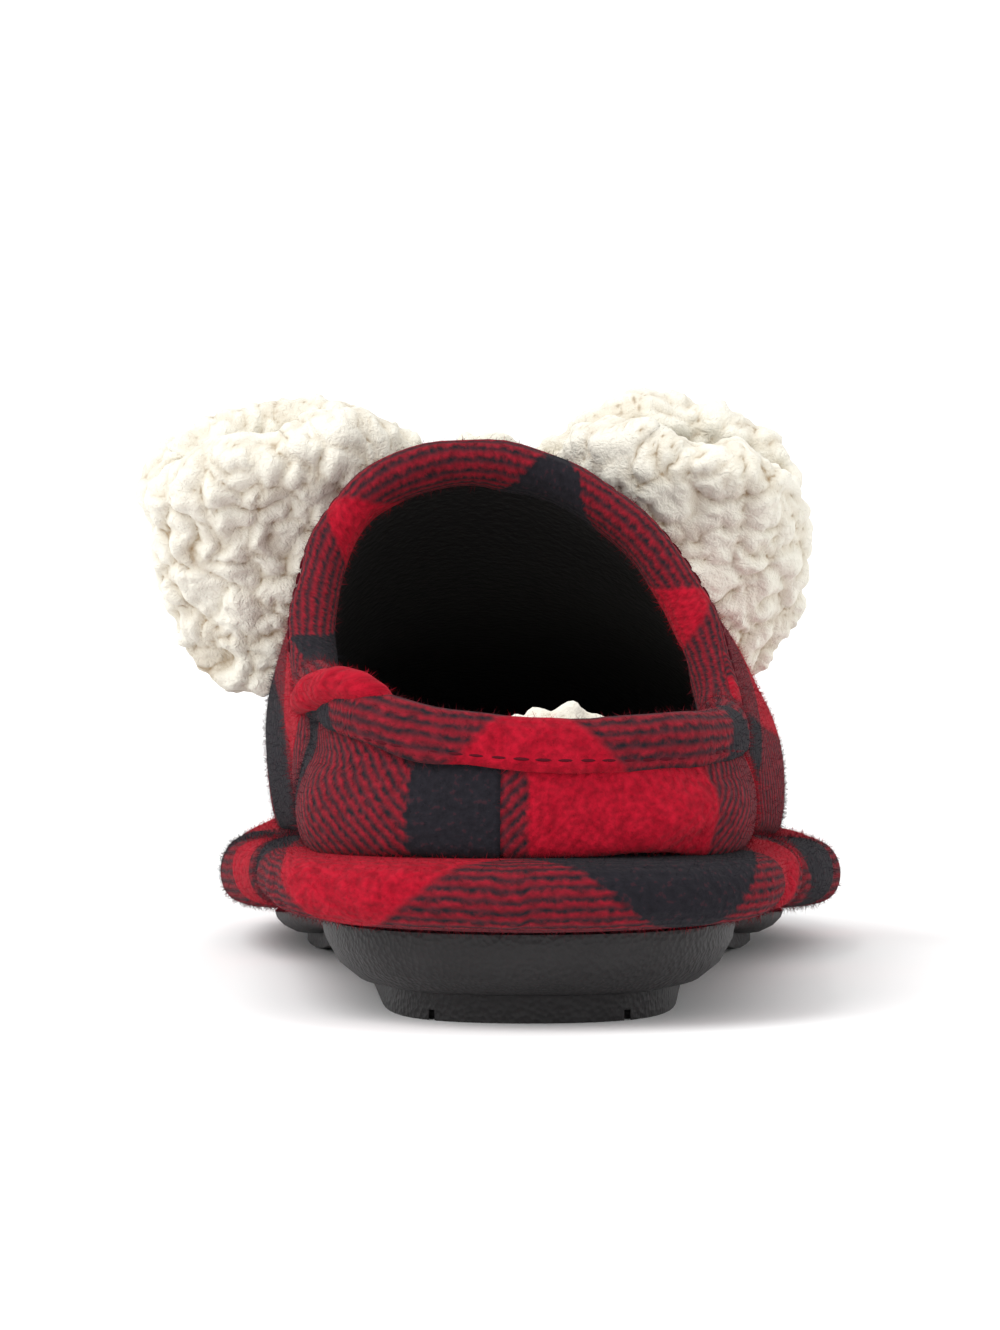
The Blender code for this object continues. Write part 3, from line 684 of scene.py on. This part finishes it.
# Rolled end: the last of the throat's strip, turned over the inner end of the heel rim and
# tacked down there as a short red roll.
Turn = namedtuple("Turn", "x y z radius")
ROLL_SIDES, ROLL_RINGS = 12, 25
roll_line = np.array(
    [
        Turn(-31.2, -78, 45.4, 1.0),
        Turn(-29.8, -88, 47.4, 2.2),
        Turn(-27.6, -96, 49.2, 2.9),
        Turn(-24.4, -102.5, 50.2, 3.0),
        Turn(-20.8, -107, 49.8, 2.5),
        Turn(-17.8, -110, 48.8, 1.8),
        Turn(-15.6, -112, 47.6, 0.9),
    ]
)
steps = np.linspace(0, len(roll_line) - 1, ROLL_RINGS)
rows = np.arange(len(roll_line))
rings = np.stack([np.interp(steps, rows, column) for column in roll_line.T], 1) * MM
ahead = np.gradient(rings[:, :3], axis=0)
ahead /= np.linalg.norm(ahead, axis=1)[:, None]
aside = np.cross(ahead, [0, 0, 1.0])
aside /= np.linalg.norm(aside, axis=1)[:, None]
above = np.cross(aside, ahead)
turns = np.arange(ROLL_SIDES) * 2 * math.pi / ROLL_SIDES
spread = aside[:, None] * np.cos(turns)[:, None] + above[:, None] * np.sin(turns)[:, None]
roll_points = (rings[:, None, :3] + spread * rings[:, None, 3:]).reshape(-1, 3)
far_end = range(len(roll_points) - ROLL_SIDES, len(roll_points))
roll_faces = [tuple(range(ROLL_SIDES)), tuple(reversed(far_end))]
for ring in range(ROLL_RINGS - 1):
    for side in range(ROLL_SIDES):
        base, after = ring * ROLL_SIDES, (side + 1) % ROLL_SIDES
        roll_faces.append(
            (base + side, base + ROLL_SIDES + side, base + ROLL_SIDES + after, base + after)
        )
roll_mesh = bpy.data.meshes.new("rolled end")
roll_mesh.from_pydata(roll_points.tolist(), [], roll_faces)
shape = bmesh.new()
shape.from_mesh(roll_mesh)
bmesh.ops.recalc_face_normals(shape, faces=shape.faces)
shape.to_mesh(roll_mesh)
shape.free()
roll = new_piece("rolled_end", roll_mesh, check_flannel)
mesh = subdivide(roll, 2)
points, normals = points_of(mesh), normals_of(mesh)
points = points + normals * rumple(points, 5 * MM, 0.7 * MM, 5)[:, None]
move_points(mesh, points)
lay_cloth(mesh, -points[:, 1], points[:, 2], BIAS, square_at(95, 48, RED, BIAS))
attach(roll, "root")

# Wool fuzz: loose fibres that brushing has pulled out of the yarn, so that they stand off
# the flannel all over. Each has the colour of the cloth at its root.
FIBRE_LENGTH, FIBRE_WIDTH = 1.4 * MM, 0.07 * MM
FIBRES = 1.1e6  # to a square metre
FIBRE_SIZES = 0.4, 1.2  # shortest and longest, in shares of the length
FIBRE_LEAN = (1.0, 1.0, 3.1)  # how far a fibre leans and turns at most, in radians


def fibre_tree():
    """Scatters fibres over the cloth's outer side, most of them combed nearly flat. Returns
    the tree and the identifier of their density."""
    tree = bpy.data.node_groups.new("loose fibres", "GeometryNodeTree")
    tree.interface.new_socket("Cloth", in_out="INPUT", socket_type="NodeSocketGeometry")
    density = tree.interface.new_socket("Density", in_out="INPUT", socket_type="NodeSocketFloat")
    tree.interface.new_socket("Fibres", in_out="OUTPUT", socket_type="NodeSocketGeometry")
    given = add(tree, "NodeGroupInput")
    fibre_mesh = bpy.data.meshes.new("fibre")
    wide = FIBRE_WIDTH / 2
    fibre_mesh.from_pydata(
        [(-wide, 0, 0), (wide, 0, 0), (0, wide, FIBRE_LENGTH)], [], [(0, 1, 2)]
    )
    fibre_mesh.materials.append(check_flannel)
    fibre = bpy.data.objects.new("fibre", fibre_mesh)
    which = add(tree, "GeometryNodeInputMaterialIndex")[0]
    outside = add(tree, "FunctionNodeCompare", {2: which, 3: 0}, data_type="INT", operation="EQUAL")
    spots = add(
        tree,
        "GeometryNodeDistributePointsOnFaces",
        {
            "Mesh": given["Cloth"],
            "Selection": outside[0],
            "Density": given["Density"],
            "Seed": 3,
        },
    )
    lean = add(
        tree,
        "FunctionNodeRandomValue",
        {0: [-most for most in FIBRE_LEAN], 1: FIBRE_LEAN},
        data_type="FLOAT_VECTOR",
    )
    tilt = add(
        tree,
        "FunctionNodeRotateRotation",
        {"Rotation": spots["Rotation"], "Rotate By": lean[0]},
        rotation_space="LOCAL",
    )
    size = add(tree, "FunctionNodeRandomValue", {2: FIBRE_SIZES[0], 3: FIBRE_SIZES[1], "Seed": 5})
    shape = add(tree, "GeometryNodeObjectInfo", {"Object": fibre})["Geometry"]
    planted = add(
        tree,
        "GeometryNodeInstanceOnPoints",
        {"Points": spots["Points"], "Instance": shape, "Rotation": tilt[0], "Scale": size[1]},
    )
    real = add(tree, "GeometryNodeRealizeInstances", {0: planted[0]})
    dyed = add(tree, "GeometryNodeSetMaterial", {"Geometry": real[0], "Material": check_flannel})
    out = tree.nodes.new("NodeGroupOutput")
    tree.links.new(dyed[0], out.inputs[0])
    return tree, density.identifier


def fuzz_over(source):
    """The fibres of one piece. Their cloth attribute becomes their UV map."""
    fuzz = new_piece(source.name + "_fuzz", source.data.copy())
    grown = fuzz.modifiers.new("loose fibres", "NODES")
    grown.node_group = loose_fibres
    grown[fibre_density] = FIBRES
    mesh = settle(fuzz)
    cloth = mesh.attributes["cloth"]
    places = np.empty(len(cloth.data) * 2, np.float32)
    cloth.data.foreach_get("vector", places)
    mesh.attributes.remove(cloth)
    corners = np.empty(len(mesh.loops), np.int32)
    mesh.loops.foreach_get("vertex_index", corners)
    layer = mesh.uv_layers.new(name="cloth")
    layer.uv.foreach_set("vector", places.reshape(-1, 2)[corners].ravel())
    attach(fuzz, "root")


loose_fibres, fibre_density = fibre_tree()
for source, slot in (
    (platform, "platform_plaid"),
    (upper, "upper_plaid"),
    (throat_collar, "binding_plaid"),
    (heel_collar, "binding_plaid"),
    (roll, "binding_plaid"),
):
    fuzz_over(source)

# Footbed: a foam insole under long cream pile, which stands up in soft curls. It is
# glued flat on the platform, and a tuft of it rises over the heel rim.
CURL_EDGE = 0.7  # how far a cleft reaches into a curl, in shares of its size
CURLS_KEPT = 0.8  # share of the places for a curl that have one
BIG_CURLS = 0.65  # their share of the pile's height; the rest is in curls half as wide
SWAY = 0.6  # how far the pile's height wanders, in shares of it
LOCKS = 1.43 * MM  # size of the locks that make up a curl
HAIRS = 0.385 * MM  # size of the hairs in a lock, drawn coarse enough to show
LOCK_DEPTH = 0.6 * MM
FOOTBED_CURL, FOOTBED_PILE = 6 * MM, 3.6 * MM  # width and height of a curl
TUFT_FACES, PILE_FACES = 2.2 * MM, 1.7 * MM  # size of the faces that each is worked on
PILE_ROOM = 0.8 * MM  # the footbed's side keeps clear of the upper by this
PILE_EDGE, PILE_RUN = 2 * MM, 4 * MM  # in from the edge the pile begins, and is full after
PILE_FOOT, PILE_RISE = 4 * MM, 2 * MM  # the same, up from the underside
noise.seed_set(1)  # the curls sway the same way in every run


def curled_pile(name):
    """Sherpa pile: cream wool-like curls, with painted shade that makes them browner down in the
    clefts, where the light doesn't reach the backing.
    """
    material, tree, shader = new_finish(name, 0.95, 0.1, 0.2)
    height = add(tree, "ShaderNodeAttribute", attribute_name="pile")["Fac"]
    place = add(tree, "ShaderNodeTexCoord")["Object"]
    locks = add(
        tree,
        "ShaderNodeTexNoise",
        {"Vector": place, "Scale": 1 / LOCKS, "Detail": 5.0, "Distortion": 1.2},
    )
    hairs = add(tree, "ShaderNodeTexNoise", {"Vector": place, "Scale": 1 / HAIRS, "Detail": 2.0})
    # Height up the curls, with some random tone from the locks. The ramp below turns it into cream
    # on the tops and painted shade, grey-beige then brown, down in the clefts.
    depth = add(
        tree, "ShaderNodeMath", {0: locks["Fac"], 1: 0.25, 2: height}, operation="MULTIPLY_ADD"
    )
    cream_and_cleft_shade = tree.nodes.new("ShaderNodeValToRGB")
    cream_and_cleft_shade.color_ramp.elements[0].position = 0.14
    cream_and_cleft_shade.color_ramp.elements[0].color = linear("#98805F")
    cream_and_cleft_shade.color_ramp.elements[1].position = 0.75
    cream_and_cleft_shade.color_ramp.elements[1].color = linear("#E9E5D8")
    between = cream_and_cleft_shade.color_ramp.elements.new(0.35)
    between.color = linear("#D6CEBD")
    tree.links.new(depth[0], cream_and_cleft_shade.inputs["Fac"])
    tree.links.new(cream_and_cleft_shade.outputs["Color"], shader.inputs["Base Color"])
    fluff = add(
        tree,
        "ShaderNodeMath",
        {0: hairs["Fac"], 1: 0.4, 2: locks["Fac"]},
        operation="MULTIPLY_ADD",
    )
    bump = add(
        tree, "ShaderNodeBump", {"Height": fluff[0], "Strength": 0.8, "Distance": LOCK_DEPTH}
    )
    tree.links.new(bump["Normal"], shader.inputs["Normal"])
    return material


def curls(points, size, seed):
    """Height from 0 to 1 of rounded curls of about this size, with a cleft between them."""
    cells = np.floor(points / size).astype(int)
    draw = np.random.default_rng(seed)
    order = draw.permutation(len(points))
    _, first = np.unique(cells[order], axis=0, return_index=True)
    middles = points[order[first]]
    middles = middles[draw.random(len(middles)) < CURLS_KEPT]
    tree = KDTree(len(middles))
    for i, middle in enumerate(middles):
        tree.insert(middle, i)
    tree.balance()
    away = np.array([[found[2] for found in tree.find_n(point, 2)] for point in points])
    cleft = np.clip((away[:, 1] - away[:, 0]) / (CURL_EDGE * size), 0, 1)
    return 1 - (1 - cleft) ** 2


def relaxed(mesh, points, rounds):
    """Points of a mesh, each moved towards the middle of its neighbours."""
    ends = np.empty(len(mesh.edges) * 2, np.int32)
    mesh.edges.foreach_get("vertices", ends)
    ends = ends.reshape(-1, 2)
    count = np.bincount(ends.ravel(), minlength=len(points))[:, None]
    for _ in range(rounds):
        total = np.zeros_like(points)
        np.add.at(total, ends[:, 0], points[ends[:, 1]])
        np.add.at(total, ends[:, 1], points[ends[:, 0]])
        points = (points + total / count) / 2
    return points


def raise_pile(mesh, size, height, seed, allowed=1.0):
    """Raises soft curls of this size on a mesh, as far as each point is allowed to rise, and
    notes their height, from which the finish paints shade into the clefts."""
    points, normals = points_of(mesh), normals_of(mesh)
    sway = np.array([noise.noise_vector(Vector(p) / (0.9 * size)) for p in points])
    fine = np.array([noise.noise_vector(Vector(p) / (0.35 * size)) for p in points])
    big = curls(points + sway * size * 0.45 + fine * size * 0.12, size, seed)
    small = curls(points + sway * size * 0.3 + fine * size * 0.2, size * 0.5, seed + 1)
    pile = BIG_CURLS * big + (1 - BIG_CURLS) * small
    lift = height * (pile - 0.45 + SWAY * sway[:, 0]) * allowed
    points = points + (normals + 0.2 * fine) * lift[:, None]
    move_points(mesh, relaxed(mesh, points, 2))
    layer = mesh.attributes.new("pile", "FLOAT", "POINT")
    layer.data.foreach_set("value", pile.astype(np.float32))


def remesh(piece, voxel, levels):
    """Even faces of this size all over a piece, so that its surface can be worked."""
    even = piece.modifiers.new("even faces", "REMESH")
    even.mode = "VOXEL"
    even.voxel_size = voxel
    relax = piece.modifiers.new("relax", "SMOOTH")
    relax.iterations = 4
    return subdivide(piece, levels)


insole = new_piece("pile_footbed", merged_copy("insole"), curled_pile("cream sherpa footbed"))
low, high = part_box("insole")
mesh = remesh(insole, TUFT_FACES, 0)
tufts = (
    Fold(-7, -107, 35, 22, -105, 35, 8, 12),
    Fold(4.5, -107, 42, 7, -107, 42, 4, 2.5),
    Fold(-14, -60, 35, 12, -20, 35, 14, 1.5),
    Fold(14, -84, 35, 20, -50, 35, 9, 1.2),
)
points, normals = points_of(mesh), normals_of(mesh)
move_points(mesh, points + normals * fold_lift(points, tufts)[:, None])
mesh = remesh(insole, PILE_FACES, 1)
points, normals = points_of(mesh), normals_of(mesh)
_, inset, _ = round_outline(points, (low + high) / 2)
on_top = np.clip((inset - PILE_EDGE) / PILE_RUN, 0, 1)
on_top *= np.clip((points[:, 2] - low.z - PILE_FOOT) / PILE_RISE, 0, 1)
points[:, :2] -= normals[:, :2] * (PILE_ROOM * (1 - on_top))[:, None]
move_points(mesh, points)
raise_pile(mesh, FOOTBED_CURL, FOOTBED_PILE, 11, on_top)
dress(insole, "insole_pile", "insole", fill=0.6)

# Bow: a wide ribbon of the same pile, doubled into two stuffed loops and gathered by a
# knot, which is sewn to the vamp.
BOW_CURL, BOW_PILE = 7 * MM, 2.4 * MM  # width and height of a curl
BOW_FACES = 1.1 * MM
Part = namedtuple("Part", "name node seed swells")
bow_pile = curled_pile("cream sherpa bow")
outer_swells = (
    Fold(12, 14, 89, 48, 14, 88, 9, 8),
    Fold(30, 10, 84, 42, 10, 60, 5, -2),
    Fold(20, 26, 91, 30, 32, 91, 8, 3),
    Fold(54, 22, 62, 46, 18, 42, 9, -2),
)
inner_swells = (
    Fold(-16, 14, 88, -54, 14, 88, 9, 9),
    Fold(-30, 10, 74, -50, 10, 56, 6, -2),
    Fold(-57, 22, 74, -54, 26, 86, 9, 4),
    Fold(-56, 20, 58, -48, 18, 42, 9, -2),
)
for part in (
    Part("bow_loop_outer_side", "bow_loop_lateral", 39, outer_swells),
    Part("bow_loop_inner_side", "bow_loop_medial", 39, inner_swells),
    Part("bow_knot_pile", "bow_knot", 33, ()),
):
    piece = new_piece(part.name, merged_copy(part.node), bow_pile)
    mesh = remesh(piece, BOW_FACES, 1)
    points, normals = points_of(mesh), normals_of(mesh)
    move_points(mesh, points + normals * fold_lift(points, part.swells)[:, None])
    raise_pile(mesh, BOW_CURL, BOW_PILE, part.seed)
    dress(piece, "bow_pile", part.node, fill=0.8)

# Floor: plain studio paper, matt white. It scatters light evenly, with no gloss, and
# takes the slipper's shadow.
FLOOR_SIZE = 6.0
floor_mesh = bpy.data.meshes.new("studio floor")
half = FLOOR_SIZE / 2
floor_mesh.from_pydata(
    [(-half, -half, 0), (half, -half, 0), (half, half, 0), (-half, half, 0)], [], [(0, 1, 2, 3)]
)
paper, _, paper_shader = new_finish("matt white paper", 0.9, 0.1)
paper_shader.inputs["Base Color"].default_value = linear("#FBFBFB")
studio_floor = new_piece("studio_floor", floor_mesh, paper)

# Light: a broad, soft lamp high on the left, which leaves a faint shadow on the right, and
# a white surround that is brightest at eye level.
EYE_LEVEL, OVERHEAD = 1.2, 1.08  # brightness of the surround
LAMP_STRENGTH = 1.6
LAMP_SPREAD = math.radians(40)
LAMP_FROM = Vector((-0.7, -0.55, 1.0))
surround = bpy.data.worlds.new("studio surround")
bpy.context.scene.world = surround
surround.use_nodes = True
sky_tree = surround.node_tree
ray = add(sky_tree, "ShaderNodeTexCoord")["Generated"]
rise = add(sky_tree, "ShaderNodeSeparateXYZ", {0: ray})["Z"]
glow = add(
    sky_tree,
    "ShaderNodeMapRange",
    {0: rise, 1: 0.12, 2: 0.5, 3: EYE_LEVEL, 4: OVERHEAD},
    interpolation_type="SMOOTHSTEP",
)
sky_tree.links.new(glow[0], sky_tree.nodes["Background"].inputs["Strength"])
sky_tree.nodes["Background"].inputs["Color"].default_value = (1, 1, 1, 1)

lamp = bpy.data.lights.new("broad lamp", "SUN")
lamp.energy = LAMP_STRENGTH
lamp.angle = LAMP_SPREAD
lamp_holder = bpy.data.objects.new("broad lamp", lamp)
lamp_holder.rotation_euler = LAMP_FROM.to_track_quat("Z", "Y").to_euler()
bpy.context.scene.collection.objects.link(lamp_holder)

# Camera: level with the instep, straight behind the heel, and tipped down a little.
FOCAL_PIXELS = 6600  # focal length in the photograph's own pixels
PHOTO_HEIGHT = 1330
SENSOR = 36
ASIDE, BEHIND, ABOVE = 0.2 * MM, 965 * MM, 91.5 * MM  # from the frame, the heel and the floor
TILT = math.radians(2.205)
camera = bpy.data.objects.new("camera", bpy.data.cameras.new("camera"))
camera.data.sensor_width = SENSOR
camera.data.lens = FOCAL_PIXELS / PHOTO_HEIGHT * SENSOR
heel_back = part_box("platform")[0].y
camera.location = (ASIDE, heel_back - BEHIND, ABOVE)
camera.rotation_euler = (math.radians(90) - TILT, 0, 0)
bpy.context.scene.collection.objects.link(camera)
bpy.context.scene.camera = camera
bpy.context.scene.view_settings.view_transform = "Standard"
